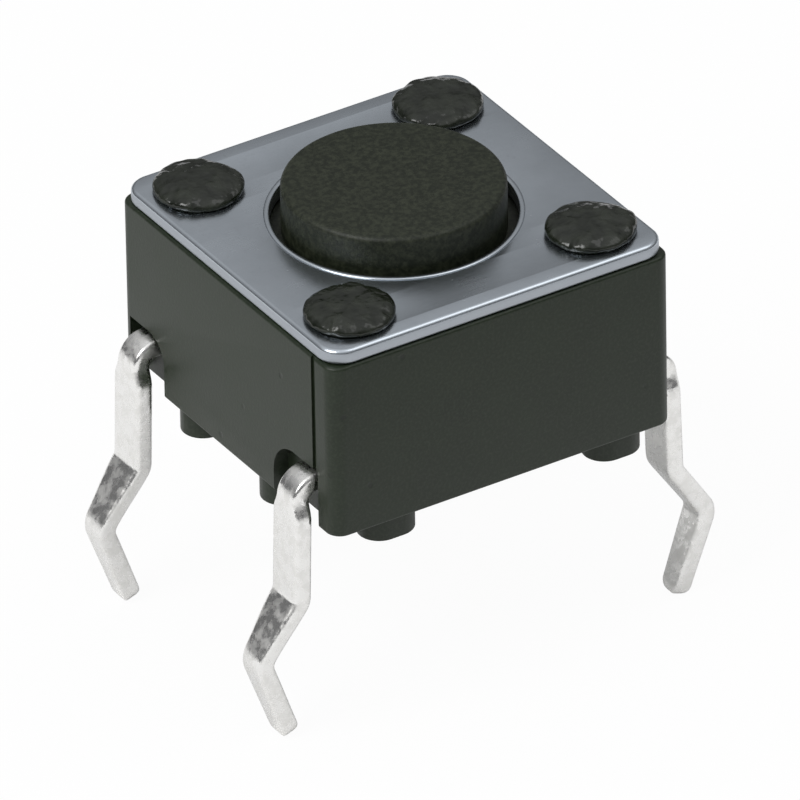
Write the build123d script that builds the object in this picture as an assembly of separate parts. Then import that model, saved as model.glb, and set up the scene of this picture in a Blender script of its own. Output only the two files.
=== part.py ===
from build123d import *
import math
import os

# Tactile push button switch for a circuit board: a square moulded base, a thin metal cover
# held down by four posts whose ends are melted over it, a round button that slides 0.25 mm
# onto a domed snap disc, and two stamped terminals that each cross the base and end in two
# kinked leads.
# Millimetres, +Z up. The origin is the centre of the lead footprint, in the plane of the
# board's top face, on which the feet stand. The leads come out at -X and +X.

# ---- Base ----
body_side = 6.0
body_height = 2.95          # from the underside to the cover
body_corner_radius = 0.25
body_edge_radius = 0.05
foot_height = 0.55
foot_length = 0.92          # along X
foot_width = 0.70
foot_edge_radius = 0.12
lead_foot_inset = 0.17      # from the body's lead sides to the ends of the feet by the leads
end_foot_inset = 0.25
shifted_foot_inset = 0.84
side_foot_inset = 0.31      # from the body's plain sides to the feet
lead_foot_far = 1.55        # y of the feet by the lead sides
lead_foot_near = -0.70
floor_skin = 0.10           # plastic over the terminals in the well
witness_width = 0.10        # mould witness groove on each lead side
witness_depth = 0.04
witness_inset = 0.53        # from the body's plain side

# ---- Lead notches in the lead sides of the base ----
notch_depth = 0.25
notch_top_gap = 0.07        # above the terminal strip
notch_near_gap = 0.45       # from the body's plain side
notch_near_reach = 0.95     # from the lead's centre towards the middle of the side
notch_near_round = 0.60
notch_far_gap = 0.25
notch_far_reach = 0.45
notch_far_round = 0.42

# ---- Cover ----
plate_thickness = 0.25
plate_setback = 0.03
plate_corner_radius = 0.40
plate_edge_radius = 0.07
plate_hole_clearance = 0.17     # around the button

# ---- Posts melted over the cover ----
post_inset = 0.873          # from the body's sides to the posts' centres
post_radius = 0.45
post_clearance = 0.03
head_radius = 0.69
head_height = 0.25
head_round = 0.18

# ---- Button ----
button_radius = 1.70
button_rise = 0.55          # above the cover
button_edge_radius = 0.08
button_travel = 0.25
flange_overlap = 0.18       # flange beyond the cover's hole
flange_thickness = 0.50
flange_clearance = 0.12     # in the well
stem_radius = 0.80

# ---- Snap disc ----
dome_thickness = 0.08
dome_rim = 0.20
dome_clearance = 0.15       # in the well

# ---- Terminals ----
strip_thickness = 0.30
strip_rise = 0.60           # underside of the base to underside of the strip
lead_inset = 0.75           # along Y, from the body's plain sides to the leads' centres
lead_standoff = 0.25        # along X, from the body's lead sides to the leads' centres at the bend
lead_width = 0.70
neck_width = 0.50           # of the strip and of the bend
neck_height = 1.05          # above the board plane, where the neck starts to widen
neck_taper = 0.30           # height over which it widens
lead_bend_radius = 0.30
kink_start_depth = 0.68     # below the board plane
kink_start_splay = 0.06
kink_depth = 1.64
kink_splay = 0.70
kink_width = 0.50
lead_depth = 3.07
tip_splay = 0.19
tip_width = 0.42
tongue_width = 0.60
center_pad_radius = 0.45
rim_pad_radius = 0.18
rim_pad_x = 1.40
overrun = 0.10              # of a lead beyond its rounded tip, before the tip is cut

# ---- Pitches, heights and radii that follow ----
post_pitch = body_side - 2 * post_inset
lead_pitch = body_side - 2 * lead_inset
lead_span = body_side + 2 * lead_standoff
body_bottom = foot_height
body_top = body_bottom + body_height
plate_top = body_top + plate_thickness
strip_bottom = body_bottom + strip_rise
strip_top = strip_bottom + strip_thickness
floor_top = strip_top + floor_skin
hole_radius = button_radius + plate_hole_clearance
flange_radius = hole_radius + flange_overlap
well_radius = flange_radius + flange_clearance
dome_radius = well_radius - dome_clearance
dome_top = floor_top + button_travel + dome_thickness
rim_middle = dome_radius - dome_rim / 2


def upright(radius, bottom, top, x=0.0, y=0.0):
    """Cylinder from height bottom to height top."""
    return Pos(x, y, bottom) * Cylinder(radius, top - bottom, align=(Align.CENTER, Align.CENTER, Align.MIN))


def slab(x0, x1, y0, y1, z0, z1):
    """Box between two corners."""
    return Pos(x0, y0, z0) * Box(x1 - x0, y1 - y0, z1 - z0, align=(Align.MIN, Align.MIN, Align.MIN))


def square_slab(side, corner_radius, bottom, top):
    """Upright square block with rounded vertical edges."""
    return Pos(0, 0, bottom) * extrude(RectangleRounded(side, side, corner_radius), top - bottom)


def post_places():
    return [(sx * post_pitch / 2, sy * post_pitch / 2) for sx in (-1, 1) for sy in (-1, 1)]


def foot_places():
    """Centres of the feet: two by each lead side, then those by the plain sides."""
    lead_x = body_side / 2 - lead_foot_inset - foot_length / 2
    end_x = body_side / 2 - end_foot_inset - foot_length / 2
    shifted_x = body_side / 2 - shifted_foot_inset - foot_length / 2
    side_y = body_side / 2 - side_foot_inset - foot_width / 2
    turned = [(-lead_x, lead_foot_far), (-lead_x, lead_foot_near), (-shifted_x, -side_y)]
    return turned + [(-x, -y) for x, y in turned] + [(end_x, -side_y)]


def foot(x, y):
    pad = extrude(SlotOverall(foot_length, foot_width), foot_height)
    pad = fillet(pad.faces().sort_by(Axis.Z)[0].edges(), foot_edge_radius)
    return Pos(x, y, 0) * pad


def lead_notch(lead_y, inner_reach, outer_gap, inner_round):
    """Opening around one lead in the -X side, rounded at the top towards the side's middle."""
    towards_middle = -math.copysign(1, lead_y)
    inner_y = lead_y + towards_middle * inner_reach
    outer_y = math.copysign(body_side / 2 - outer_gap, lead_y)
    low_y, high_y = min(inner_y, outer_y), max(inner_y, outer_y)
    notch_top = strip_top + notch_top_gap
    cut = slab(-body_side, -body_side / 2 + notch_depth, low_y, high_y, 0, notch_top)
    top_edges = cut.faces().sort_by(Axis.Z)[-1].edges().filter_by(Axis.X)
    inner_edge = top_edges.sort_by(lambda edge: abs(edge.center().Y))[0]
    return fillet(inner_edge, inner_round)


def witness_groove():
    """Shallow upright groove in the -X side, from the notch to the top."""
    y = -body_side / 2 + witness_inset
    return slab(-body_side, -body_side / 2 + witness_depth, y - witness_width / 2,
                y + witness_width / 2, body_bottom, body_side)


def lead_side_cuts():
    cuts = [lead_notch(-lead_pitch / 2, notch_near_reach, notch_near_gap, notch_near_round),
            lead_notch(lead_pitch / 2, notch_far_reach, notch_far_gap, notch_far_round),
            witness_groove()]
    return cuts + [Rot(0, 0, 180) * cut for cut in cuts]


def make_terminal(y, inner_parts):
    """Strip across the base with a kinked lead at each end, and the parts it carries inside."""
    strip_middle = strip_bottom + strip_thickness / 2
    half = lead_span / 2
    tip_slope = (kink_splay - tip_splay) / (lead_depth - kink_depth)
    lead = [(half, strip_middle), (half + kink_start_splay, -kink_start_depth),
            (half + kink_splay, -kink_depth),
            (half + tip_splay - overrun * tip_slope, -lead_depth - overrun)]
    points = [Vector(x, y, z) for x, z in reversed(lead)] + [Vector(-x, y, z) for x, z in lead]
    path = FilletPolyline(*points, radius=lead_bend_radius)
    start = Plane(origin=path @ 0, x_dir=(0, 1, 0), z_dir=path % 0)
    bar = sweep(start * Rectangle(lead_width, strip_thickness), path=path)
    bar = bar & (Pos(0, y, 0) * lead_outline())
    return bar + inner_parts


def lead_outline():
    """Front shape of the leads along X: narrow neck, full width, narrowed to the kink, round tip."""
    top = body_top
    low = -lead_depth + tip_width / 2
    with BuildSketch(Plane.YZ) as outline:
        with BuildLine():
            side = [(tip_width / 2, low), (kink_width / 2, -kink_depth), (lead_width / 2, -kink_start_depth),
                    (lead_width / 2, neck_height - neck_taper), (neck_width / 2, neck_height),
                    (neck_width / 2, top)]
            Polyline(*[(-x, z) for x, z in side], *reversed(side))
            ThreePointArc((tip_width / 2, low), (0, -lead_depth), (-tip_width / 2, low))
        make_face()
    return extrude(outline.sketch, body_side, both=True)


def make_front_terminal():
    """Terminal with the centre contact."""
    y = -lead_pitch / 2
    tongue = slab(-tongue_width / 2, tongue_width / 2, y, 0, strip_bottom, strip_top)
    pad = upright(center_pad_radius, strip_bottom, floor_top)
    return make_terminal(y, [tongue, pad])


def make_back_terminal():
    """Terminal with the two contacts under the snap disc's rim."""
    y = lead_pitch / 2
    pad_y = math.sqrt(rim_middle**2 - rim_pad_x**2)
    parts = []
    for x in (-rim_pad_x, rim_pad_x):
        parts.append(slab(x - tongue_width / 2, x + tongue_width / 2, pad_y - tongue_width / 2, y,
                          strip_bottom, strip_top))
        parts.append(upright(rim_pad_radius, strip_bottom, floor_top, x, pad_y))
    return make_terminal(y, parts)


def make_base(terminals):
    block = square_slab(body_side, body_corner_radius, body_bottom, body_top)
    rims = block.faces().sort_by(Axis.Z)[0].edges() + block.faces().sort_by(Axis.Z)[-1].edges()
    block = fillet(rims, body_edge_radius)
    block -= upright(well_radius, floor_top, plate_top)
    block -= lead_side_cuts()
    block += [foot(x, y) for x, y in foot_places()]
    for x, y in post_places():
        head = upright(head_radius, plate_top, plate_top + head_height, x, y)
        head = fillet(head.faces().sort_by(Axis.Z)[-1].edges(), head_round)
        block += [upright(post_radius, floor_top, plate_top, x, y), head]
    return block - terminals


def make_cover_plate():
    plate = square_slab(body_side - 2 * plate_setback, plate_corner_radius, body_top, plate_top)
    plate = fillet(plate.faces().sort_by(Axis.Z)[-1].edges(), plate_edge_radius)
    plate -= upright(hole_radius, body_bottom, plate_top + head_height)
    plate -= [upright(post_radius + post_clearance, body_bottom, plate_top + head_height, x, y)
              for x, y in post_places()]
    return plate


def make_plunger():
    button = upright(button_radius, body_top, plate_top + button_rise)
    button = fillet(button.faces().sort_by(Axis.Z)[-1].edges(), button_edge_radius)
    flange = upright(flange_radius, body_top - flange_thickness, body_top)
    return button + [flange, upright(stem_radius, dome_top, body_top)]


def make_contact_dome():
    """Thin domed disc with a flat rim, as high inside as the button's travel."""
    foot_radius = dome_radius - dome_rim
    low, high = floor_top, floor_top + button_travel
    bow = (foot_radius**2 + button_travel**2) / (2 * button_travel)
    half_angle = math.asin(foot_radius / bow) / 2
    mid_radius = bow * math.sin(half_angle)
    mid_drop = bow * (1 - math.cos(half_angle))
    with BuildSketch(Plane.XZ) as section:
        with BuildLine():
            ThreePointArc((0, high), (mid_radius, high - mid_drop), (foot_radius, low))
            Polyline((foot_radius, low), (dome_radius, low), (dome_radius, low + dome_thickness),
                     (foot_radius, low + dome_thickness))
            ThreePointArc((foot_radius, low + dome_thickness), (mid_radius, dome_top - mid_drop), (0, dome_top))
            Line((0, dome_top), (0, high))
        make_face()
    return revolve(section.sketch, Axis.Z, 360)


front_terminal = make_front_terminal()
back_terminal = make_back_terminal()
pieces = {
    "base": make_base([front_terminal, back_terminal]),
    "cover_plate": make_cover_plate(),
    "plunger": make_plunger(),
    "contact_dome": make_contact_dome(),
    "front_terminal": front_terminal,
    "back_terminal": back_terminal,
}

os.makedirs("parts", exist_ok=True)
for name, piece in pieces.items():
    export_step(piece, f"parts/{name}.step")
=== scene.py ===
import math

import bmesh
import bpy
from mathutils import Matrix, Vector, noise


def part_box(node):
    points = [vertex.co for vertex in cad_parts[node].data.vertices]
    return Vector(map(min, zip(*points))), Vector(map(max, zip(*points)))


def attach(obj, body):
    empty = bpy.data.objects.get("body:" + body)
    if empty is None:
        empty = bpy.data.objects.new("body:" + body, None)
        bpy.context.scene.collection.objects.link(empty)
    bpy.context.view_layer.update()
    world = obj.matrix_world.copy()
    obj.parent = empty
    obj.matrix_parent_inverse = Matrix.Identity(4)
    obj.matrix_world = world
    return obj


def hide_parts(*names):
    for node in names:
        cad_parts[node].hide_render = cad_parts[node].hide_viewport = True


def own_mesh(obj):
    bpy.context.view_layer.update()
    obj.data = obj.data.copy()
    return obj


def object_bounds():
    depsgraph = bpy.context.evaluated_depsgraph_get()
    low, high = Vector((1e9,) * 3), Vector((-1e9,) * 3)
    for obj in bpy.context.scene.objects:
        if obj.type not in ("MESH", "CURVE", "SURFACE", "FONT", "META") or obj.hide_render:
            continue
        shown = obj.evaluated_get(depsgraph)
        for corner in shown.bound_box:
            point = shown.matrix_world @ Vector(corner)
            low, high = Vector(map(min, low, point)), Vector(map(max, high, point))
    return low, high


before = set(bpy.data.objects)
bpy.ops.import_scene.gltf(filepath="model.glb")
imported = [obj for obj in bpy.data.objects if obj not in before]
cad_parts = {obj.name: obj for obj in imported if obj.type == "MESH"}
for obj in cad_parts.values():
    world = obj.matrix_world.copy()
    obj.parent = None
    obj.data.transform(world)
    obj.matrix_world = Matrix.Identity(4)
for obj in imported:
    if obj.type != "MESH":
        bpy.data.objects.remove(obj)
cad_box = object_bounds()

# Shapes are built in millimetres and scaled to metres once, when a piece is finished.
MM = 0.001


def millimetres(corner):
    return Vector(corner) / MM


base_low, base_high = (millimetres(corner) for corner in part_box("base"))
cover_low, cover_high = (millimetres(corner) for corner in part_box("cover_plate"))
plunger_low, plunger_high = (millimetres(corner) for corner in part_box("plunger"))
terminal_low = millimetres(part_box("front_terminal")[0])

# ---- Sizes in millimetres ----
# Body and feet
body_side = base_high.x - base_low.x
foot_height = 0.55
body_bottom = foot_height
body_top = cover_low.z
body_corner_radius = 0.25
body_edge_radius = 0.05
foot_length = 0.92
foot_width = 0.70
foot_edge_radius = 0.12
foot_root = 0.1                 # how far a foot reaches into the body
lead_foot_inset = 0.17          # from the body's lead sides to the ends of the feet by the leads
end_foot_inset = 0.25
shifted_foot_inset = 0.84
side_foot_inset = 0.31          # from the body's plain sides to the feet
lead_foot_far = 1.55            # y of the feet by the lead sides
lead_foot_near = -0.70

# Cover, with the post heads over it
plate_top = cover_high.z
plate_side = cover_high.x - cover_low.x
plate_corner_radius = 0.40
plate_edge_radius = 0.07
hole_clearance = 0.17           # around the button
lip_half_width = 0.045          # of the burr around the button's hole
lip_rise = 0.022
lip_root = 0.06
post_pitch = 4.254
post_radius = 0.45
post_clearance = 0.03
head_radius = 0.69
head_height = base_high.z - plate_top
head_belly = 0.10               # height at which a head is widest
head_tuck = 0.05                # how much narrower it is where it meets the cover

# Button
button_radius = 1.70
button_edge_radius = 0.09
button_travel = 0.25
flange_radius = plunger_high.x
flange_thickness = 0.50
stem_radius = 0.80
hole_radius = button_radius + hole_clearance

# Terminals
strip_thickness = 0.30
strip_rise = 0.60               # above the underside of the body
strip_bottom = body_bottom + strip_rise
strip_top = strip_bottom + strip_thickness
floor_skin = 0.10               # plastic over the terminals in the well
floor_top = strip_top + floor_skin
lead_pitch = 4.5
lead_span = 6.5
lead_width = 0.70
neck_width = 0.50               # of the strip and of the bend
neck_height = 1.05              # where the neck starts to widen
neck_taper = 0.30               # height over which it widens
lead_bend_radius = 0.30
lead_edge_radius = 0.085
kink_start_depth = 0.68         # depths are below the board plane, z = 0
kink_start_splay = 0.06         # splays are outwards from where the lead bends down
kink_depth = 1.64
kink_splay = 0.70
kink_width = 0.50
lead_depth = -terminal_low.z
tip_splay = 0.19
tip_width = 0.42
tip_shortfall = 0.03            # keeps the corner of the slanted tip within the lead's depth
tongue_width = 0.60
center_pad_radius = 0.45
rim_pad_radius = 0.18
rim_pad_x = 1.40
tuck = 0.01                     # of inner parts inside the strip's faces, so that none coincide

# Snap disc in its well
well_clearance = 0.12           # around the flange
well_radius = flange_radius + well_clearance
disc_clearance = 0.15
disc_radius = well_radius - disc_clearance
disc_rim = 0.20
disc_thickness = 0.08

# Notches and mould groove in the lead sides
notch_depth = 0.25
notch_top_gap = 0.07            # above the strip
notch_top = strip_top + notch_top_gap
notch_near_gap = 0.45           # from the body's plain side
notch_near_reach = 0.95         # from the lead's centre towards the middle of the side
notch_near_round = 0.60
notch_far_gap = 0.25
notch_far_reach = 0.45
notch_far_round = 0.42
witness_width = 0.10
witness_depth = 0.04
witness_inset = 0.53            # from the body's plain side
witness_place = -body_side / 2 + witness_inset
witness_overlap = 0.05          # of the groove with the notch under it

# Places closer than this count as one.
SAME_PLACE = 1e-4


# ---- Shader helpers ----
class Value:
    """One socket of a shader, on which sums are written as ordinary expressions."""

    def __init__(self, graph, socket):
        self.graph = graph
        self.socket = socket

    def join(self, operation, *inputs):
        return self.graph.node("ShaderNodeMath", {"operation": operation}, *inputs)

    def __add__(self, other):
        return self.join("ADD", self, other)

    def __radd__(self, other):
        return self.join("ADD", other, self)

    def __rsub__(self, other):
        return self.join("SUBTRACT", other, self)

    def __mul__(self, other):
        return self.join("MULTIPLY", self, other)

    def __rmul__(self, other):
        return self.join("MULTIPLY", other, self)


class Graph:
    """The nodes of one material or of the world."""

    def __init__(self, tree):
        self.tree = tree
        tree.nodes.clear()

    def node(self, kind, settings=None, *values, out=0, **named):
        """Adds a node with inputs given in order or by name, and returns one of its outputs."""
        made = self.tree.nodes.new(kind)
        for setting, value in (settings or {}).items():
            if setting == "stops":
                self.set_stops(made.color_ramp, value)
            else:
                setattr(made, setting, value)
        for place, value in enumerate(values):
            self.feed(made.inputs[place], value)
        for name, value in named.items():
            self.feed(made.inputs[name.replace("_", " ")], value)
        return Value(self, made.outputs[out]) if len(made.outputs) else made

    def feed(self, socket, value):
        if isinstance(value, Value):
            self.tree.links.new(value.socket, socket)
        elif value is not None:
            socket.default_value = value

    def set_stops(self, ramp, stops):
        while len(ramp.elements) < len(stops):
            ramp.elements.new(1.0)
        for element, (position, grey) in zip(ramp.elements, stops):
            element.position = position
            element.color = (grey, grey, grey, 1.0)

    def place(self):
        """Position on the piece, in metres."""
        return self.node("ShaderNodeTexCoord", None, out=3)

    def grain(self, size_mm, detail=2.0, roughness=0.5, stretch=None):
        """Noise whose features are about size_mm across."""
        where = self.place()
        if stretch:
            where = self.node("ShaderNodeMapping", None, where, Scale=stretch)
        return self.node("ShaderNodeTexNoise", None, where, Scale=1 / (size_mm * MM),
                         Detail=detail, Roughness=roughness)

    def below(self, height_mm):
        """1 under a height, 0 above it."""
        height = self.node("ShaderNodeSeparateXYZ", None, self.place(), out=2)
        return height.join("LESS_THAN", height, height_mm * MM)

    def ramp(self, value, *stops):
        return self.node("ShaderNodeValToRGB", {"stops": stops}, value)

    def blend(self, mask, first, second):
        """The first colour where the mask is 0, the second where it is 1."""
        mixed = self.tree.nodes.new("ShaderNodeMix")
        mixed.data_type = "RGBA"
        self.feed(mixed.inputs["Factor"], mask)
        color_a, color_b, color_result = 6, 7, 2
        self.feed(mixed.inputs[color_a], first)
        self.feed(mixed.inputs[color_b], second)
        return Value(self, mixed.outputs[color_result])

    def bump(self, height, depth_mm, strength=1.0, under=None):
        return self.node("ShaderNodeBump", None, Height=height, Distance=depth_mm * MM,
                         Strength=strength, Normal=under)

    def surface(self, **values):
        shader = self.node("ShaderNodeBsdfPrincipled", None, **values)
        self.node("ShaderNodeOutputMaterial", None, shader)


def new_material(name):
    material = bpy.data.materials.new(name)
    material.use_nodes = True
    return material, Graph(material.node_tree)


def grey(level, red=1.0, green=1.0, blue=1.0):
    return (level * red, level * green, level * blue, 1.0)


# ---- Materials ----
def moulded_plastic():
    """Near-black nylon with a fine spark-eroded grain, soft blotches and a few pits, which painted
    shade darkens.
    """
    material, graph = new_material("moulded_plastic")
    dark, light = (0.0075, 0.0140, 0.0045, 1.0), (0.0110, 0.0190, 0.0075, 1.0)
    fleck, pit_shade = (0.034, 0.043, 0.027, 1.0), grey(0.004)
    blotch = graph.grain(0.9, detail=3.0, roughness=0.6)
    grain = graph.grain(0.05, detail=3.0, roughness=0.6)
    pit_spacing = 0.42
    pits = graph.node("ShaderNodeTexVoronoi", None, graph.place(), Scale=1 / (pit_spacing * MM),
                      Randomness=1.0)
    pit = graph.ramp(pits, (0.0, 1.0), (0.08, 0.8), (0.15, 0.0))
    pit = pit * graph.ramp(graph.grain(0.6), (0.5, 0.0), (0.6, 1.0))
    tone = graph.ramp(blotch, (0.30, 0.0), (0.72, 1.0))
    color = graph.blend(tone, dark, light)
    speckle = graph.ramp(grain, (0.45, 0.0), (0.70, 1.0))
    color = graph.blend(speckle * 0.4, color, fleck)
    # Painted shade darkens the pits.
    color = graph.blend(pit * 0.5, color, pit_shade)
    rough = 0.30 + 0.12 * grain + 0.10 * blotch
    relief = graph.bump(grain, depth_mm=0.004, strength=0.6)
    relief = graph.bump(1 - pit, depth_mm=0.014, strength=0.4, under=relief)
    graph.surface(Base_Color=color, Roughness=rough, IOR=1.44, Normal=relief)
    return material


def melted_plastic():
    """The same plastic where it was melted over the cover: glossy and lumpy."""
    material, graph = new_material("melted_plastic")
    dark, light = (0.0050, 0.0070, 0.0035, 1.0), (0.0160, 0.0195, 0.0125, 1.0)
    lumps = graph.grain(0.26, detail=2.0, roughness=0.5)
    creases = graph.grain(0.10, detail=2.0, roughness=0.5)
    tone = graph.ramp(lumps, (0.36, 0.0), (0.66, 1.0))
    color = graph.blend(tone, dark, light)
    rough = 0.10 + 0.16 * tone + 0.08 * creases
    relief = graph.bump(lumps, depth_mm=0.075, strength=0.85)
    relief = graph.bump(creases, depth_mm=0.008, strength=0.5, under=relief)
    graph.surface(Base_Color=color, Roughness=rough, IOR=1.48, Normal=relief)
    return material


def button_plastic():
    """Near-black matt plastic with a coarser speckled grain."""
    material, graph = new_material("button_plastic")
    dark, fleck = (0.0075, 0.0105, 0.0048, 1.0), (0.0290, 0.0340, 0.0200, 1.0)
    dull = (0.0115, 0.0150, 0.0075, 1.0)
    grain = graph.grain(0.09, detail=4.0, roughness=0.75)
    fine = graph.grain(0.03, detail=2.0, roughness=0.5)
    blotch = graph.grain(0.7, detail=3.0, roughness=0.6)
    speckle = graph.ramp(grain, (0.42, 0.0), (0.62, 1.0))
    color = graph.blend(speckle, dark, fleck)
    color = graph.blend(blotch * 0.35, color, dull)
    rough = 0.42 + 0.16 * fine
    relief = graph.bump(grain, depth_mm=0.008, strength=0.5)
    relief = graph.bump(fine, depth_mm=0.004, strength=0.5, under=relief)
    graph.surface(Base_Color=color, Roughness=rough, IOR=1.40, Normal=relief)
    return material


def cover_steel():
    """Satin stainless sheet with a faint rolling grain and a light mottle, rougher at its edges,
    with painted shade darkening its sides and hole walls.
    """
    material, graph = new_material("cover_steel")
    dark, light = grey(0.57, 0.94, 1.02, 1.10), grey(0.62, 0.94, 1.02, 1.10)
    speck, side_shade = grey(0.42, 0.95, 1.01, 1.08), grey(0.34, 0.95, 1.0, 1.07)
    mottle = graph.grain(0.8, detail=4.0, roughness=0.6)
    fine = graph.grain(0.06, detail=3.0, roughness=0.6)
    rolled = graph.grain(0.05, detail=2.0, roughness=0.5, stretch=(0.06, 1.0, 1.0))
    tone = graph.ramp(mottle, (0.3, 0.0), (0.7, 1.0))
    color = graph.blend(tone, dark, light)
    color = graph.blend(graph.ramp(fine, (0.60, 0.0), (0.80, 0.35)), color, speck)
    # Painted shade: everything below the top face, the sides and the walls of the holes, is
    # darkened; the extra roughness there is real.
    edge = graph.below(plate_top - 0.055)
    color = graph.blend(edge * 0.6, color, side_shade)
    rough = 0.20 + 0.07 * mottle + 0.05 * rolled + 0.14 * edge
    relief = graph.bump(rolled, depth_mm=0.0012, strength=0.35)
    relief = graph.bump(fine, depth_mm=0.001, strength=0.3, under=relief)
    graph.surface(Base_Color=color, Metallic=1.0, Roughness=rough, Normal=relief)
    return material


def plated_metal():
    """Bright silver plating, hammered by the stamping and streaked along the leads."""
    material, graph = new_material("plated_metal")
    clean, stained = grey(0.94, 1.0, 0.99, 0.965), grey(0.78, 1.0, 0.985, 0.93)
    streak = graph.grain(0.12, detail=3.0, roughness=0.6, stretch=(1.0, 1.0, 0.25))
    mottle = graph.grain(0.17, detail=3.0, roughness=0.6)
    stain = graph.ramp(mottle, (0.42, 0.0), (0.62, 1.0))
    color = graph.blend(stain * 0.30, clean, stained)
    rough = 0.15 + 0.08 * streak + 0.22 * stain
    relief = graph.bump(mottle, depth_mm=0.012, strength=0.6)
    relief = graph.bump(streak, depth_mm=0.004, strength=0.4, under=relief)
    graph.surface(Base_Color=color, Metallic=1.0, Roughness=rough, Normal=relief)
    return material


def disc_steel():
    """Bright spring steel of the snap disc."""
    material, graph = new_material("disc_steel")
    mottle = graph.grain(0.4, detail=3.0, roughness=0.6)
    color = graph.blend(mottle, grey(0.66), grey(0.78, 1.0, 0.99, 0.97))
    relief = graph.bump(mottle, depth_mm=0.002, strength=0.3)
    graph.surface(Base_Color=color, Metallic=1.0, Roughness=0.18 + 0.12 * mottle, Normal=relief)
    return material


# ---- Mesh helpers ----
def block(low, high):
    """Box between two corners."""
    bm = bmesh.new()
    bmesh.ops.create_cube(bm, size=1.0)
    low, high = Vector(low), Vector(high)
    bmesh.ops.scale(bm, vec=high - low, verts=bm.verts)
    bmesh.ops.translate(bm, vec=(low + high) / 2, verts=bm.verts)
    return bm


def along(edge, axis):
    """True if the edge runs along one axis."""
    run = edge.verts[1].co - edge.verts[0].co
    return abs(run[axis]) > 0.999 * run.length


def round_edges(bm, edges, radius, segments):
    bmesh.ops.bevel(bm, geom=list(edges), offset=radius, offset_type="OFFSET",
                    segments=segments, profile=0.5, affect="EDGES", material=-1,
                    clamp_overlap=True)


def edges_at(bm, height):
    """Edges that lie flat at one height."""
    return [edge for edge in bm.edges
            if all(abs(vert.co.z - height) < SAME_PLACE for vert in edge.verts)]


def turned(profile, steps=128):
    """Solid turned about Z from (radius, height) corners: a ring if they start off the axis."""
    bm = bmesh.new()
    corners = [bm.verts.new((radius, 0, height)) for radius, height in profile]
    edges = [bm.edges.new(pair) for pair in zip(corners, corners[1:])]
    if profile[0][0] > 0:
        edges.append(bm.edges.new((corners[-1], corners[0])))
    bmesh.ops.spin(bm, geom=corners + edges, cent=(0, 0, 0), axis=(0, 0, 1), angle=math.tau,
                   steps=steps, use_merge=True)
    bmesh.ops.remove_doubles(bm, verts=bm.verts, dist=1e-5)
    bmesh.ops.recalc_face_normals(bm, faces=bm.faces)
    return bm


def ring_edges(bm, radius, height):
    """Edges of a turned solid that lie on one circle."""
    def on_ring(vert):
        at_height = abs(vert.co.z - height) < SAME_PLACE
        return at_height and abs(vert.co.xy.length - radius) < SAME_PLACE

    return [edge for edge in bm.edges if all(on_ring(vert) for vert in edge.verts)]


def to_mesh(bm, name):
    mesh = bpy.data.meshes.new(name)
    bm.to_mesh(mesh)
    bm.free()
    return mesh


def absorb(bm, other):
    """Adds another bmesh to this one."""
    mesh = to_mesh(other, "part")
    bm.from_mesh(mesh)
    bpy.data.meshes.remove(mesh)
    return bm


def combine(bm, tool, operation):
    """Cuts a tool out of a solid, or joins it on."""
    solid = bpy.data.objects.new("solid", to_mesh(bm, "solid"))
    cutter = bpy.data.objects.new("cutter", to_mesh(tool, "cutter"))
    for piece in (solid, cutter):
        bpy.context.scene.collection.objects.link(piece)
    change = solid.modifiers.new("combine", "BOOLEAN")
    change.operation = operation
    change.solver = "EXACT"
    change.object = cutter
    bpy.context.view_layer.update()
    changed = solid.evaluated_get(bpy.context.evaluated_depsgraph_get())
    made = bpy.data.meshes.new_from_object(changed)
    result = bmesh.new()
    result.from_mesh(made)
    bpy.data.meshes.remove(made)
    for piece in (solid, cutter):
        mesh = piece.data
        bpy.data.objects.remove(piece)
        bpy.data.meshes.remove(mesh)
    return result


def finish_piece(bm, name, material, body, slot, *nodes, sharp=35):
    """Scales a shape to metres and makes it a piece that rides on a body."""
    bmesh.ops.scale(bm, vec=(MM, MM, MM), verts=bm.verts)
    for face in bm.faces:
        face.smooth = True
    mesh = to_mesh(bm, name)
    mesh.set_sharp_from_angle(angle=math.radians(sharp))
    mesh.materials.append(material)
    piece = bpy.data.objects.new(name, mesh)
    bpy.context.scene.collection.objects.link(piece)
    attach(piece, body)
    if nodes:
        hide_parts(*nodes)
    return piece


# ---- Base ----
def foot(x, y):
    """Foot with round ends and a rounded lower edge."""
    bm = block((x - foot_length / 2, y - foot_width / 2, 0),
               (x + foot_length / 2, y + foot_width / 2, body_bottom + foot_root))
    nearly_half = foot_width / 2 * 0.999
    round_edges(bm, [edge for edge in bm.edges if along(edge, 2)], nearly_half, 12)
    round_edges(bm, edges_at(bm, 0), foot_edge_radius, 5)
    return bm


def foot_places():
    """Centres of the feet: two by each lead side, then those by the plain sides."""
    half = body_side / 2
    lead_x = half - lead_foot_inset - foot_length / 2
    end_x = half - end_foot_inset - foot_length / 2
    shifted_x = half - shifted_foot_inset - foot_length / 2
    side_y = half - side_foot_inset - foot_width / 2
    turned_feet = [(-lead_x, lead_foot_far), (-lead_x, lead_foot_near), (-shifted_x, -side_y)]
    return turned_feet + [(-x, -y) for x, y in turned_feet] + [(end_x, -side_y)]


def lead_notch(lead_y, inner_reach, outer_gap, inner_round):
    """Opening around one lead in the -X side, rounded at the top towards the side's middle."""
    inner = lead_y - math.copysign(inner_reach, lead_y)
    outer = math.copysign(body_side / 2 - outer_gap, lead_y)
    bm = block((-body_side, min(inner, outer), -1),
               (-body_side / 2 + notch_depth, max(inner, outer), notch_top))
    top = [edge for edge in edges_at(bm, notch_top) if along(edge, 0)]
    round_edges(bm, [min(top, key=lambda edge: abs(edge.verts[0].co.y))], inner_round, 14)
    return bm


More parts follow.
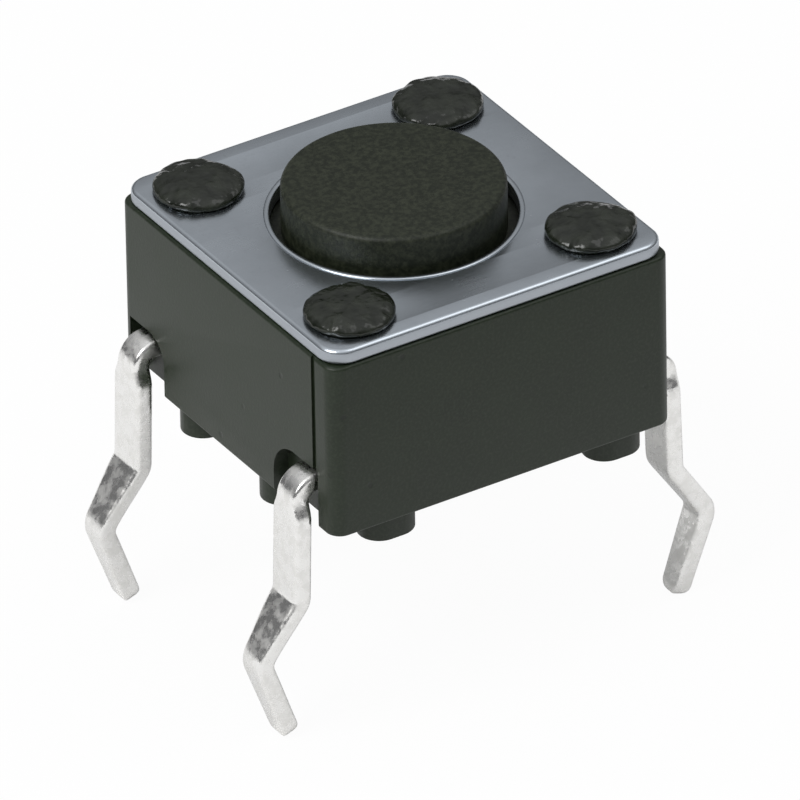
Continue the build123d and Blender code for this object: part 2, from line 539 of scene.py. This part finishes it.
def lead_side_cuts():
    """Two notches and the mould groove of the -X side, and the same half a turn round."""
    bm = lead_notch(-lead_pitch / 2, notch_near_reach, notch_near_gap, notch_near_round)
    absorb(bm, lead_notch(lead_pitch / 2, notch_far_reach, notch_far_gap, notch_far_round))
    groove = block((-body_side, witness_place - witness_width / 2, notch_top - witness_overlap),
                   (-body_side / 2 + witness_depth, witness_place + witness_width / 2, body_side))
    bm = combine(bm, groove, "UNION")
    other = bm.copy()
    half_turn = Matrix.Rotation(math.pi, 3, "Z")
    bmesh.ops.rotate(other, cent=(0, 0, 0), matrix=half_turn, verts=other.verts)
    return absorb(bm, other)


def make_base(material):
    half = body_side / 2
    bm = block((-half, -half, body_bottom), (half, half, body_top))
    round_edges(bm, [edge for edge in bm.edges if along(edge, 2)], body_corner_radius, 10)
    round_edges(bm, edges_at(bm, body_bottom) + edges_at(bm, body_top), body_edge_radius, 4)
    well = turned([(0, floor_top), (well_radius, floor_top), (well_radius, body_side),
                   (0, body_side)])
    bm = combine(bm, well, "DIFFERENCE")
    bm = combine(bm, lead_side_cuts(), "DIFFERENCE")
    feet = bmesh.new()
    for x, y in foot_places():
        absorb(feet, foot(x, y))
    bm = combine(bm, feet, "UNION")
    return finish_piece(bm, "base_body", material, "housing", "body_plastic", "base")


def head_profile():
    """Half section of a melted post end: steep bulging side, nearly flat top."""
    side_steps, dome_steps = 4, 20
    side_fullness, top_fullness = 0.52, 0.85
    side = [(head_radius - head_tuck * (1 - step / side_steps) ** 2, head_belly * step / side_steps)
            for step in range(side_steps)]
    dome = []
    for step in range(dome_steps + 1):
        angle = math.pi / 2 * step / dome_steps
        dome.append((head_radius * max(0.0, math.cos(angle)) ** side_fullness,
                     head_belly + (head_height - head_belly) * math.sin(angle) ** top_fullness))
    dome[-1] = (0, head_height)
    return [(0, 0)] + side + dome


def make_head(name, x, y, seed, material):
    """Post with its end melted over the cover: a pillow, slightly uneven."""
    bm = turned(head_profile(), 96)
    lumps_per_mm, ripples_per_mm = 2.4, 6.5
    uneven_outline = 0.035          # share of the radius
    lump_height, ripple_height = 0.030, 0.022
    rim_sag = 0.020
    still_below = 0.06              # the foot of the head stays flat on the cover
    for vert in bm.verts:
        rim = vert.co.xy.length / head_radius
        lump = noise.noise(vert.co * lumps_per_mm + Vector((seed * 7.3, 1.7, 0)))
        ripple = noise.noise(vert.co * ripples_per_mm + Vector((0, seed * 3.1, 4.0)))
        vert.co.xy *= 1 + uneven_outline * lump
        if vert.co.z > still_below:
            vert.co.z += (lump_height * lump - rim_sag) * rim + ripple_height * ripple
    top = max(vert.co.z for vert in bm.verts)
    bmesh.ops.scale(bm, vec=(1, 1, head_height / top), verts=bm.verts)
    shaft_bottom, shaft_top = floor_top - plate_top, 0.05
    absorb(bm, turned([(0, shaft_bottom), (post_radius, shaft_bottom),
                       (post_radius, shaft_top), (0, shaft_top)], 48))
    bmesh.ops.translate(bm, vec=(x, y, plate_top), verts=bm.verts)
    return finish_piece(bm, name, material, "housing", "body_plastic", "base", sharp=60)


# ---- Cover ----
# Length of a curve's handle over the radius, for a quarter circle.
QUARTER_PULL = 4 / 3 * (math.sqrt(2) - 1)


def outline(curve, corners):
    """Closed path through corners given as (point, handle before, handle after)."""
    spline = curve.splines.new("BEZIER")
    spline.bezier_points.add(len(corners) - 1)
    spline.use_cyclic_u = True
    spline.resolution_u = 24
    for point, (place, before, after) in zip(spline.bezier_points, corners):
        point.handle_left_type = point.handle_right_type = "FREE"
        point.co = (*place, 0)
        point.handle_left = (*before, 0)
        point.handle_right = (*after, 0)


def quarter_arcs(centers, radius):
    """Corner points of a rounded outline: one quarter circle about each centre."""
    pull = QUARTER_PULL * radius
    corners = []
    for quarter, center in enumerate(centers):
        turn = Matrix.Rotation(quarter * math.pi / 2, 2)
        middle = Vector(center)
        start = middle + turn @ Vector((radius, 0))
        end = middle + turn @ Vector((0, radius))
        corners.append((start, start, start + turn @ Vector((0, pull))))
        corners.append((end, end + turn @ Vector((pull, 0)), end))
    return corners


def circle_arcs(center, radius):
    """Four points of a full circle."""
    pull = QUARTER_PULL * radius
    corners = []
    for quarter in range(4):
        turn = Matrix.Rotation(quarter * math.pi / 2, 2)
        place = Vector(center) + turn @ Vector((radius, 0))
        side = turn @ Vector((0, pull))
        corners.append((place, place - side, place + side))
    return corners


def hole_lip():
    """Low burr that punching raised around the button's hole."""
    steps = 10
    arch = [(hole_radius + lip_half_width * (1 - math.cos(math.pi * step / steps)),
             plate_top + lip_rise * math.sin(math.pi * step / steps)) for step in range(steps + 1)]
    inner_root = (hole_radius, plate_top - lip_root)
    outer_root = (hole_radius + 2 * lip_half_width, plate_top - lip_root)
    return turned([inner_root] + arch + [outer_root])


def make_cover(material):
    """Plate with rounded edges at its outline and holes, which a filled curve gives."""
    curve = bpy.data.curves.new("cover", "CURVE")
    curve.dimensions = "2D"
    curve.fill_mode = "BOTH"
    thickness = plate_top - body_top
    curve.extrude = thickness / 2 - plate_edge_radius
    curve.bevel_depth = plate_edge_radius
    curve.bevel_resolution = 4
    curve.offset = -plate_edge_radius
    reach = plate_side / 2 - plate_corner_radius
    places = [(reach, reach), (-reach, reach), (-reach, -reach), (reach, -reach)]
    outline(curve, quarter_arcs(places, plate_corner_radius))
    outline(curve, circle_arcs((0, 0), hole_radius))
    for x, y in post_places():
        outline(curve, circle_arcs((x, y), post_radius + post_clearance))
    shape = bpy.data.objects.new("cover", curve)
    bpy.context.scene.collection.objects.link(shape)
    mesh = bpy.data.meshes.new_from_object(shape)
    bpy.data.objects.remove(shape)
    bpy.data.curves.remove(curve)
    bm = bmesh.new()
    bm.from_mesh(mesh)
    bpy.data.meshes.remove(mesh)
    bmesh.ops.remove_doubles(bm, verts=bm.verts, dist=SAME_PLACE)
    bmesh.ops.recalc_face_normals(bm, faces=bm.faces)
    bmesh.ops.translate(bm, vec=(0, 0, (body_top + plate_top) / 2), verts=bm.verts)
    absorb(bm, hole_lip())
    return finish_piece(bm, "cover", material, "housing", "cover_steel", "cover_plate")


def post_places():
    return [(sx * post_pitch / 2, sy * post_pitch / 2) for sx in (-1, 1) for sy in (-1, 1)]


# ---- Button ----
def make_button(material):
    top = plunger_high.z
    stem_bottom = plunger_low.z
    flange_bottom = body_top - flange_thickness
    bm = turned([(0, top), (button_radius, top), (button_radius, body_top),
                 (flange_radius, body_top), (flange_radius, flange_bottom),
                 (stem_radius, flange_bottom), (stem_radius, stem_bottom), (0, stem_bottom)], 160)
    round_edges(bm, ring_edges(bm, button_radius, top), button_edge_radius, 6)
    return finish_piece(bm, "button", material, "button", "button_plastic", "plunger")


# ---- Terminals ----
class Strip:
    """Flat metal strip with rounded edges that is drawn out from its end, along X and down."""

    def __init__(self, y, middle):
        self.bm = bmesh.new()
        bmesh.ops.create_grid(self.bm, x_segments=1, y_segments=1, size=0.5)
        bmesh.ops.scale(self.bm, vec=(strip_thickness, lead_width, 1), verts=self.bm.verts)
        bmesh.ops.bevel(self.bm, geom=self.bm.verts[:], offset=lead_edge_radius,
                        offset_type="OFFSET", segments=5, profile=0.5, affect="VERTICES",
                        material=-1)
        upright = Matrix.Rotation(math.pi / 2, 3, "Y")
        bmesh.ops.rotate(self.bm, cent=(0, 0, 0), matrix=upright, verts=self.bm.verts)
        bmesh.ops.translate(self.bm, vec=(0, y, middle), verts=self.bm.verts)
        self.start = self.end = self.bm.faces[:][0]
        self.place = Vector((0, y, middle))
        self.heading = Vector((1, 0, 0))

    def draw_out(self):
        """Adds a ring of faces at the end and returns the new end's corners."""
        made = bmesh.ops.extrude_face_region(self.bm, geom=[self.end])["geom"]
        old = self.end
        self.end = next(part for part in made if isinstance(part, bmesh.types.BMFace))
        if old is not self.start and old.is_valid:
            self.bm.faces.remove(old)
        return self.end.verts

    def straight(self, length):
        """Goes straight on: in short steps on the way down, where the width changes."""
        step_length = 0.08
        steps = 1 if abs(self.heading.z) < 0.5 else max(1, round(length / step_length))
        for _ in range(steps):
            verts = self.draw_out()
            bmesh.ops.translate(self.bm, vec=self.heading * length / steps, verts=verts)
        self.place += self.heading * length

    def bend(self, turn):
        """Bends the end in the XZ plane: a negative turn is downwards."""
        degrees_per_step = 6
        steps = max(3, round(abs(turn) / math.radians(degrees_per_step)))
        side = Vector((-self.heading.z, 0, self.heading.x)) * math.copysign(1, turn)
        center = self.place + side * lead_bend_radius
        step = Matrix.Rotation(-turn / steps, 3, "Y")
        for _ in range(steps):
            verts = self.draw_out()
            bmesh.ops.rotate(self.bm, cent=center, matrix=step, verts=verts)
            self.place = center + step @ (self.place - center)
            self.heading = step @ self.heading

    def round_off(self, reach):
        """Draws the end to a blunt round point."""
        steps, last = 9, math.radians(82)
        across_before = through_before = 1.0
        gone = 0.0
        for step in range(1, steps + 1):
            advance = math.sin(last * step / steps)
            verts = self.draw_out()
            bmesh.ops.translate(self.bm, vec=self.heading * reach * (advance - gone), verts=verts)
            self.place += self.heading * reach * (advance - gone)
            across, through = math.sqrt(1 - advance**2), (1 - advance**3) ** 0.4
            for vert in verts:
                offset = vert.co - self.place
                vert.co = self.place + Vector((offset.x * through / through_before,
                                               offset.y * across / across_before,
                                               offset.z * through / through_before))
            across_before, through_before, gone = across, through, advance


def lead_path():
    """Corner points of a lead's middle line, from the strip's middle outwards."""
    half = lead_span / 2
    middle = strip_bottom + strip_thickness / 2
    return [Vector((0, middle)), Vector((half, middle)),
            Vector((half + kink_start_splay, -kink_start_depth)),
            Vector((half + kink_splay, -kink_depth)), Vector((half + tip_splay, -lead_depth))]


def width_at(height):
    """Width of a lead at a height, which changes smoothly between the stops."""
    stops = [(-lead_depth, tip_width), (-kink_depth, kink_width),
             (-kink_start_depth, lead_width), (neck_height - neck_taper, lead_width),
             (neck_height, neck_width)]
    for (low, narrow), (high, wide) in zip(stops, stops[1:]):
        if height <= high:
            share = max(0.0, (height - low) / (high - low))
            return narrow + (wide - narrow) * share**2 * (3 - 2 * share)
    return neck_width


def make_terminal(name, node, y, inner_parts, material):
    """Draws half a terminal out from its middle, mirrors it and adds its inner parts."""
    path = lead_path()
    strip = Strip(y, path[0].y)
    used = 0.0
    for before, corner, after in zip(path, path[1:], path[2:]):
        arriving, leaving = corner - before, after - corner
        cross = arriving.x * leaving.y - arriving.y * leaving.x
        turn = math.atan2(cross, arriving.dot(leaving))
        setback = lead_bend_radius * math.tan(abs(turn) / 2)
        strip.straight(arriving.length - used - setback)
        strip.bend(turn)
        used = setback
    tip_reach = tip_width / 2
    strip.straight((path[-1] - path[-2]).length - used - tip_reach - tip_shortfall)
    strip.round_off(tip_reach)
    bm = strip.bm
    for vert in bm.verts:
        vert.co.y = y + (vert.co.y - y) * width_at(vert.co.z) / lead_width
    caps = [face for face in bm.faces if all(abs(vert.co.x) < SAME_PLACE for vert in face.verts)]
    bmesh.ops.delete(bm, geom=caps, context="FACES_ONLY")
    bmesh.ops.mirror(bm, geom=bm.verts[:] + bm.edges[:] + bm.faces[:], axis="X",
                     merge_dist=SAME_PLACE)
    bmesh.ops.recalc_face_normals(bm, faces=bm.faces)
    for part in inner_parts:
        absorb(bm, part)
    return finish_piece(bm, name, material, "housing", "terminal_metal", node, sharp=40)


def contact_pad(radius, steps):
    """Round contact that stands up through the floor of the well."""
    bottom = strip_bottom + 2 * tuck
    return turned([(0, bottom), (radius, bottom), (radius, floor_top), (0, floor_top)], steps)


def make_terminals(material):
    """Front terminal with the centre contact, back terminal with the two under the disc's rim."""
    half_tongue = tongue_width / 2
    tongue_bottom, tongue_top = strip_bottom + tuck, strip_top - tuck
    front_y = -lead_pitch / 2
    tongue = block((-half_tongue, front_y, tongue_bottom), (half_tongue, 0, tongue_top))
    center_pad = contact_pad(center_pad_radius, 48)
    make_terminal("front_leads", "front_terminal", front_y, [tongue, center_pad], material)
    rim_middle = disc_radius - disc_rim / 2
    pad_y = math.sqrt(rim_middle**2 - rim_pad_x**2)
    parts = []
    for x in (-rim_pad_x, rim_pad_x):
        parts.append(block((x - half_tongue, pad_y - half_tongue, tongue_bottom),
                           (x + half_tongue, -front_y, tongue_top)))
        rim_pad = contact_pad(rim_pad_radius, 32)
        bmesh.ops.translate(rim_pad, vec=(x, pad_y, 0), verts=rim_pad.verts)
        parts.append(rim_pad)
    make_terminal("back_leads", "back_terminal", -front_y, parts, material)


# ---- Snap disc ----
def make_snap_disc(material):
    """Thin domed disc on a flat rim, its dome as high as the button's travel."""
    foot_radius = disc_radius - disc_rim
    bow = (foot_radius**2 + button_travel**2) / (2 * button_travel)
    steps = 16
    arch = []
    for step in range(steps + 1):
        reach = foot_radius * step / steps
        arch.append((reach, floor_top + button_travel - bow + math.sqrt(bow**2 - reach**2)))
    rim = [(disc_radius, floor_top), (disc_radius, floor_top + disc_thickness)]
    top = [(reach, height + disc_thickness) for reach, height in arch]
    disc = finish_piece(turned(arch + rim + top[::-1], 96), "snap_disc", material, "housing",
                        "disc_steel", "contact_dome")
    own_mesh(disc)


# ---- Making the object ----
plastic = moulded_plastic()
make_base(plastic)
melted = melted_plastic()
for seed, (x, y) in enumerate(post_places()):
    make_head(f"post_head_{seed + 1}", x, y, seed, melted)
make_cover(cover_steel())
make_button(button_plastic())
make_terminals(plated_metal())
make_snap_disc(disc_steel())


# ---- Floor, light and camera ----
def background_share(graph, seen_directly, seen_in_gloss):
    """How far the floor glows plain white, for rays from the camera and for mirrored ones."""
    path = graph.tree.nodes.new("ShaderNodeLightPath")
    camera = Value(graph, path.outputs["Is Camera Ray"])
    glossy = Value(graph, path.outputs["Is Glossy Ray"])
    through = Value(graph, path.outputs["Is Transmission Ray"])
    return camera * seen_directly + glossy * seen_in_gloss + through * seen_in_gloss


def make_floor():
    """White floor under the tips of the leads, which hardly darkens under the object."""
    half_side_m = 0.6
    bm = bmesh.new()
    bmesh.ops.create_grid(bm, x_segments=1, y_segments=1, size=half_side_m)
    bmesh.ops.translate(bm, vec=(0, 0, cad_box[0][2]), verts=bm.verts)
    floor = bpy.data.objects.new("floor", to_mesh(bm, "floor"))
    bpy.context.scene.collection.objects.link(floor)
    material, graph = new_material("floor_white")
    glow = graph.node("ShaderNodeEmission", None, Color=grey(1.0), Strength=1.0)
    matt = graph.node("ShaderNodeBsdfDiffuse", None, Color=grey(0.86))
    share = background_share(graph, seen_directly=0.96, seen_in_gloss=0.10)
    both = graph.node("ShaderNodeMixShader", None, share, matt, glow)
    graph.node("ShaderNodeOutputMaterial", None, both)
    floor.data.materials.append(material)


def make_world():
    """Studio that gets brighter upwards from a dark horizon, and plain white for the camera."""
    world = bpy.data.worlds.new("studio")
    bpy.context.scene.world = world
    world.use_nodes = True
    graph = Graph(world.node_tree)
    direction = graph.node("ShaderNodeTexCoord", None, out=0)
    height = graph.node("ShaderNodeSeparateXYZ", None, direction, out=2)
    up = graph.ramp(height, (0.0, 0.10), (0.26, 0.15), (0.46, 0.32), (0.62, 0.42), (1.0, 0.90))
    cool_white = grey(1.0, 0.99, 1.0, 1.02)
    studio = graph.blend(up, grey(0.0), cool_white)
    light_path = graph.tree.nodes.new("ShaderNodeLightPath")
    camera = Value(graph, light_path.outputs["Is Camera Ray"])
    color = graph.blend(camera, studio, grey(1.0))
    background = graph.node("ShaderNodeBackground", None, Color=color, Strength=1.0)
    graph.node("ShaderNodeOutputWorld", None, background)


def backwards(turn, tilt):
    """Direction from the object to a viewer or a lamp. Without a turn it is the -Y side."""
    return Vector((math.sin(turn) * math.cos(tilt), -math.cos(turn) * math.cos(tilt),
                   math.sin(tilt)))


def make_softbox(name, azimuth, elevation, distance, size, watts):
    """Square soft lamp aimed at the cover. Angles are in degrees, lengths in metres."""
    lamp = bpy.data.lights.new(name, "AREA")
    lamp.shape = "SQUARE"
    lamp.size = size
    lamp.energy = watts
    away = backwards(math.radians(azimuth), math.radians(elevation))
    place = bpy.data.objects.new(name, lamp)
    bpy.context.scene.collection.objects.link(place)
    place.location = away * distance + Vector((0, 0, plate_top * MM))
    place.rotation_euler = away.to_track_quat("Z", "Y").to_euler()


def make_camera():
    """Long lens that looks down on the corner between the -X and -Y sides."""
    azimuth, elevation, roll = (math.radians(angle) for angle in (-31.778, 32.172, -1.0305))
    distance = 0.31402
    shift_right, shift_down = 0.0376, 0.1156
    back = backwards(azimuth, elevation)
    level = Vector((math.cos(azimuth), math.sin(azimuth), 0))
    upward = back.cross(level)
    right = math.cos(roll) * level + math.sin(roll) * upward
    up = math.cos(roll) * upward - math.sin(roll) * level
    aim = Vector((0, 0, body_bottom)) * MM + right * shift_right * MM - up * shift_down * MM
    lens = bpy.data.cameras.new("camera")
    lens.sensor_width = 36
    lens.lens = 940.67
    lens.clip_start = 0.01
    lens.clip_end = 10
    camera = bpy.data.objects.new("camera", lens)
    bpy.context.scene.collection.objects.link(camera)
    facing = Matrix((right, up, back)).transposed().to_4x4()
    camera.matrix_world = Matrix.Translation(aim + back * distance) @ facing
    bpy.context.scene.camera = camera


make_floor()
make_world()
make_softbox("key", azimuth=-82, elevation=46, distance=0.16, size=0.08, watts=0.150)
make_softbox("fill", azimuth=62, elevation=60, distance=0.20, size=0.12, watts=0.045)
make_camera()
bpy.context.scene.view_settings.view_transform = "Standard"
